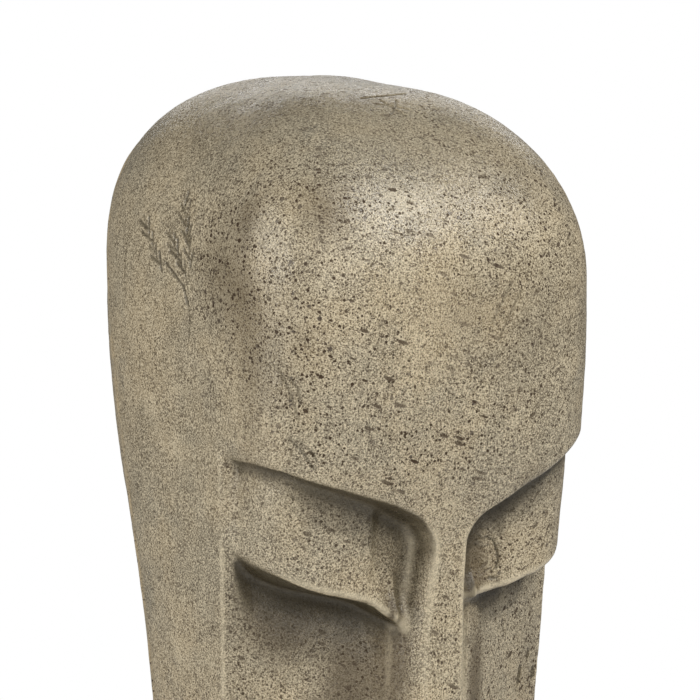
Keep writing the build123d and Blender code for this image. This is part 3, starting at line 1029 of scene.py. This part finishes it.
def cast_stone():
    """Speckled tan-grey casting: grain, dark spatter, smudges, painted highlights and painted shade.
    """
    n = Nodes("cast_stone")
    facing = n.add("SeparateXYZ", {"Vector": n.add("NewGeometry").outputs["Normal"]}).outputs
    sideways = n.maths("POWER", n.maths("ABSOLUTE", facing["X"]), 3.0)
    clouds = n.noise(48, 5, 0.65)
    grain = n.noise(980, 2, 0.8)
    tone = n.attribute("tone")
    where = spatter_density(n, facing, sideways)
    spots = fine_spatter(n, where)
    blots = n.maths("MULTIPLY", n.dots(190, -0.5, 0.34, at=n.nudged(500, 0.002)), where)

    colour = stone_grain(n, stone_ground(n, clouds, sideways), grain)
    colour = n.mix(n.maths("MULTIPLY", blots, 0.85), colour, BLOT)
    # painted shade: upward faces such as the crown darkened and greyed
    colour = n.mix(n.step(facing["Z"], 0.3, 0.9, 0.0, 0.4), colour, TOP_SHADE)
    # pale and dark tone: painted highlights and painted shade, with some rubs and stains
    colour = n.mix(n.step(tone, 0.0, 1.0, 0.0, 0.5), colour, STONE_PALE)
    colour = n.mix(n.step(tone, 0.0, -1.3, 0.0, 0.75), colour, STONE_DARK)
    colour = n.mix(n.maths("MULTIPLY", spots, 0.97), colour, SPATTER)
    colour = stone_wear_and_painted_shade(n, colour, clouds, tone)

    roughness = n.step(clouds, 0.3, 0.7, 0.24, 0.36)
    roughness = n.maths("ADD", roughness, n.maths("MULTIPLY", spots, 0.45))
    n.shader.inputs["Specular IOR Level"].default_value = 0.5
    height = n.maths("MULTIPLY", grain, 0.5)
    height = n.maths("SUBTRACT", height, n.maths("MULTIPLY", spots, 0.3))
    height = n.maths("ADD", height, clouds)
    return n.finish(colour, roughness, height, depth=0.0006)


def filler():
    """Rubbed-down filler: the stone's colour with a finer grain."""
    n = Nodes("filler")
    grain = n.noise(700, 3, 0.7)
    clouds = n.noise(60, 4, 0.6)
    colour = n.mix(n.step(clouds, 0.35, 0.65), STONE_GREY, STONE_TAN)
    colour = n.mix(n.step(grain, 0.5, 0.3, 0.0, 0.8), colour, STONE_DARK)
    colour = n.mix(n.dots(430, -0.2, 0.4), colour, SPATTER)
    return n.finish(colour, n.step(clouds, 0.3, 0.7, 0.55, 0.75), grain, depth=0.0004)


# moulded rubber and plastic: dark and scuffed grey, roughness, size and depth of the grain
MOULDED = {
    "black_rubber": (
        (0.022, 0.022, 0.022, 1), (0.07, 0.068, 0.064, 1), (0.6, 0.85), 1400, 0.0002),
    "base_board": (
        (0.075, 0.073, 0.07, 1), (0.14, 0.135, 0.125, 1), (0.5, 0.7), 620, 0.0004),
    "collar_plastic": (
        (0.045, 0.045, 0.045, 1), (0.1, 0.1, 0.1, 1), (0.35, 0.55), 1100, 0.00015),
    "bung_rubber": (
        (0.05, 0.046, 0.042, 1), (0.1, 0.095, 0.085, 1), (0.6, 0.8), 1300, 0.0002),
}


def moulded(name):
    """Moulded plastic or rubber: a fine leather-like grain, paler where it is scuffed."""
    dark, pale, rough, scale, depth = MOULDED[name]
    n = Nodes(name)
    cells = n.add("TexVoronoi", {"Vector": n.nudged(scale, 0.3 / scale), "Scale": scale})
    scuffs = n.step(n.noise(90, 6, 0.7), 0.5, 0.75, 0.0, 0.7)
    colour = n.mix(scuffs, dark, pale)
    roughness = n.step(n.noise(140, 3), 0.3, 0.7, *rough)
    return n.finish(colour, roughness, cells.outputs["Distance"], depth=depth)


def plated():
    """Bright zinc plating: a fine grain, dulled in patches."""
    n = Nodes("zinc_plate")
    n.shader.inputs["Metallic"].default_value = 1.0
    dull = n.step(n.noise(300, 4, 0.6), 0.35, 0.7)
    colour = n.mix(dull, (0.68, 0.68, 0.66, 1), (0.5, 0.5, 0.5, 1))
    fine = n.noise(2500, 2, 0.6)
    return n.finish(colour, n.step(dull, 0.0, 1.0, 0.25, 0.45), fine, depth=0.00004)


def sawn_timber():
    """Rough-sawn softwood: growth rings and long fibres."""
    n = Nodes("timber")
    rings = n.add(
        "TexWave",
        {"Vector": n.place, "Scale": 60.0, "Distortion": 6.0, "Detail": 3.0, "Detail Scale": 1.5},
        wave_type="RINGS",
        rings_direction="Z",
    ).outputs["Fac"]
    along = n.add("Mapping", {"Vector": n.place, "Scale": (1, 1, 0.05)}).outputs[0]
    fibres = n.noise(900, 3, 0.6, at=along)
    colour = n.mix(rings, (0.62, 0.45, 0.26, 1), (0.42, 0.27, 0.14, 1))
    colour = n.mix(n.step(fibres, 0.55, 0.75, 0.0, 0.5), colour, (0.3, 0.18, 0.09, 1))
    return n.finish(colour, n.step(fibres, 0.3, 0.7, 0.7, 0.9), fibres, depth=0.0004)


def resin_tape():
    """Woven glass tape wetted out with resin."""
    n = Nodes("glass_tape")
    weave = []
    for direction in ("X", "Z"):
        wave = n.add(
            "TexWave",
            {"Vector": n.place, "Scale": 160.0, "Distortion": 0.6, "Detail": 1.0},
            bands_direction=direction,
        )
        weave.append(wave.outputs["Fac"])
    cloth = n.maths("MULTIPLY", *weave)
    pools = n.noise(45, 4, 0.6)
    colour = n.mix(cloth, (0.6, 0.54, 0.36, 1), (0.8, 0.77, 0.64, 1))
    colour = n.mix(n.step(pools, 0.5, 0.7, 0.0, 0.6), colour, (0.5, 0.4, 0.2, 1))
    return n.finish(colour, n.step(pools, 0.3, 0.7, 0.2, 0.4), cloth, depth=0.0003)


def dry_sand():
    """Washed sand: mixed pale, tan and brown grains."""
    n = Nodes("sand")
    cells = n.add("TexVoronoi", {"Vector": n.place, "Scale": 900.0})
    pick = n.add("SeparateColor", {"Color": cells.outputs["Color"]}).outputs["Red"]
    colour = n.mix(n.step(pick, 0.2, 0.9), (0.66, 0.55, 0.38, 1), (0.42, 0.3, 0.17, 1))
    colour = n.mix(n.step(pick, 0.9, 0.95), colour, (0.8, 0.78, 0.72, 1))
    roughness = n.step(pick, 0.0, 1.0, 0.6, 0.85)
    return n.finish(colour, roughness, cells.outputs["Distance"], depth=0.0008)


def dress(objects, material):
    """Gives each object one material."""
    for obj in objects:
        obj.data.materials.clear()
        obj.data.materials.append(material)
        for face in obj.data.polygons:
            face.material_index = 0


def dress_nodes():
    """The CAD nodes that still show, each in its own finish."""
    zinc = plated()
    finishes = {
        "base_plate": moulded("base_board"),
        "base_screws": zinc,
        "foot_screws": zinc,
        "foot_washers": zinc,
        "rubber_feet": moulded("black_rubber"),
        "fill_collar": moulded("collar_plastic"),
        "fill_bung": moulded("bung_rubber"),
        "seam_tape": resin_tape(),
        "screw_blocks": sawn_timber(),
        "sand_fill": dry_sand(),
    }
    for name, material in finishes.items():
        dress([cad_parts[name]], material)


dress([front_half, back_half], cast_stone())
dress([bead], filler())
dress_nodes()


# ---------------------------------------- camera, light, floor
AZIMUTH = -35.0
ELEVATION = 6.0
DISTANCE = 8.0
VIEW_WIDTH = 0.42
SENSOR = 36
LOOK_ACROSS = 0.0019
LOOK_UP = 0.5928
FLOOR_REACH = 2.2
FILL_LIGHT = 0.12


def way_to(azimuth, elevation):
    """Direction from the head. Azimuth 0 is in front of the face and 90 is at +X."""
    a = math.radians(azimuth)
    e = math.radians(elevation)
    return Vector((math.sin(a) * math.cos(e), -math.cos(a) * math.cos(e), math.sin(e)))


def add_camera():
    """A nearly parallel view of the head from the crown to the nose."""
    back = way_to(AZIMUTH, ELEVATION)
    across = Vector((0, 0, 1)).cross(back).normalized()
    up = back.cross(across)
    data = bpy.data.cameras.new("camera")
    data.sensor_width = SENSOR
    data.lens = SENSOR * DISTANCE / VIEW_WIDTH
    camera = bpy.data.objects.new("camera", data)
    camera.location = across * LOOK_ACROSS + up * LOOK_UP + back * DISTANCE
    camera.rotation_mode = "QUATERNION"
    camera.rotation_quaternion = back.to_track_quat("Z", "Y")
    bpy.context.collection.objects.link(camera)
    bpy.context.scene.camera = camera


def add_area(name, place, target, size, power):
    """A rectangular light that points at its target."""
    data = bpy.data.lights.new(name, "AREA")
    data.shape = "RECTANGLE"
    data.size, data.size_y = size
    data.energy = power
    light = bpy.data.objects.new(name, data)
    light.location = place
    light.rotation_mode = "QUATERNION"
    light.rotation_quaternion = (Vector(place) - Vector(target)).to_track_quat("Z", "Y")
    bpy.context.collection.objects.link(light)


def add_floor():
    """A plain pale floor, which is not a part of the object."""
    mesh = bpy.data.meshes.new("floor")
    corners = [(x * FLOOR_REACH, y * FLOOR_REACH, 0) for x, y in ((-1, -1), (1, -1), (1, 1), (-1, 1))]
    mesh.from_pydata(corners, [], [(0, 1, 2, 3)])
    floor = bpy.data.objects.new("floor", mesh)
    bpy.context.collection.objects.link(floor)
    material = bpy.data.materials.new("floor")
    material.use_nodes = True
    shader = material.node_tree.nodes["Principled BSDF"]
    shader.inputs["Base Color"].default_value = (0.8, 0.8, 0.8, 1)
    shader.inputs["Roughness"].default_value = 0.9
    mesh.materials.append(material)


LIGHT_TARGET = Vector((0, 0, 0.6))
LIGHTS = [
    # name, azimuth, elevation, distance, size across and up, power
    ("key", 33, 45, 2.4, (0.3, 0.26), 29),
    ("top", 12, 62, 2.4, (0.7, 0.6), 5),
    ("front", -22, 22, 2.4, (0.9, 0.9), 14),
    ("left", -92, 17, 2.4, (0.6, 1.0), 22),
    ("back", 144, 21, 2.4, (1.8, 0.4), 7),
]


def add_lights():
    """Soft boxes round the head."""
    for name, azimuth, elevation, distance, size, power in LIGHTS:
        place = LIGHT_TARGET + way_to(azimuth, elevation) * distance
        add_area(name, place, LIGHT_TARGET, size, power)


def add_world():
    """Plain white to the camera, and a weaker fill for the object."""
    world = bpy.data.worlds.new("studio")
    world.use_nodes = True
    tree = world.node_tree
    fill = tree.nodes["Background"]
    fill.inputs["Color"].default_value = (1, 1, 1, 1)
    fill.inputs["Strength"].default_value = FILL_LIGHT
    white = tree.nodes.new("ShaderNodeBackground")
    white.inputs["Color"].default_value = (1, 1, 1, 1)
    white.inputs["Strength"].default_value = 1.0
    paths = tree.nodes.new("ShaderNodeLightPath")
    pick = tree.nodes.new("ShaderNodeMixShader")
    tree.links.new(paths.outputs["Is Camera Ray"], pick.inputs[0])
    tree.links.new(fill.outputs[0], pick.inputs[1])
    tree.links.new(white.outputs[0], pick.inputs[2])
    tree.links.new(pick.outputs[0], tree.nodes["World Output"].inputs["Surface"])
    bpy.context.scene.world = world


add_camera()
add_floor()
add_lights()
add_world()
bpy.context.scene.view_settings.view_transform = "Standard"
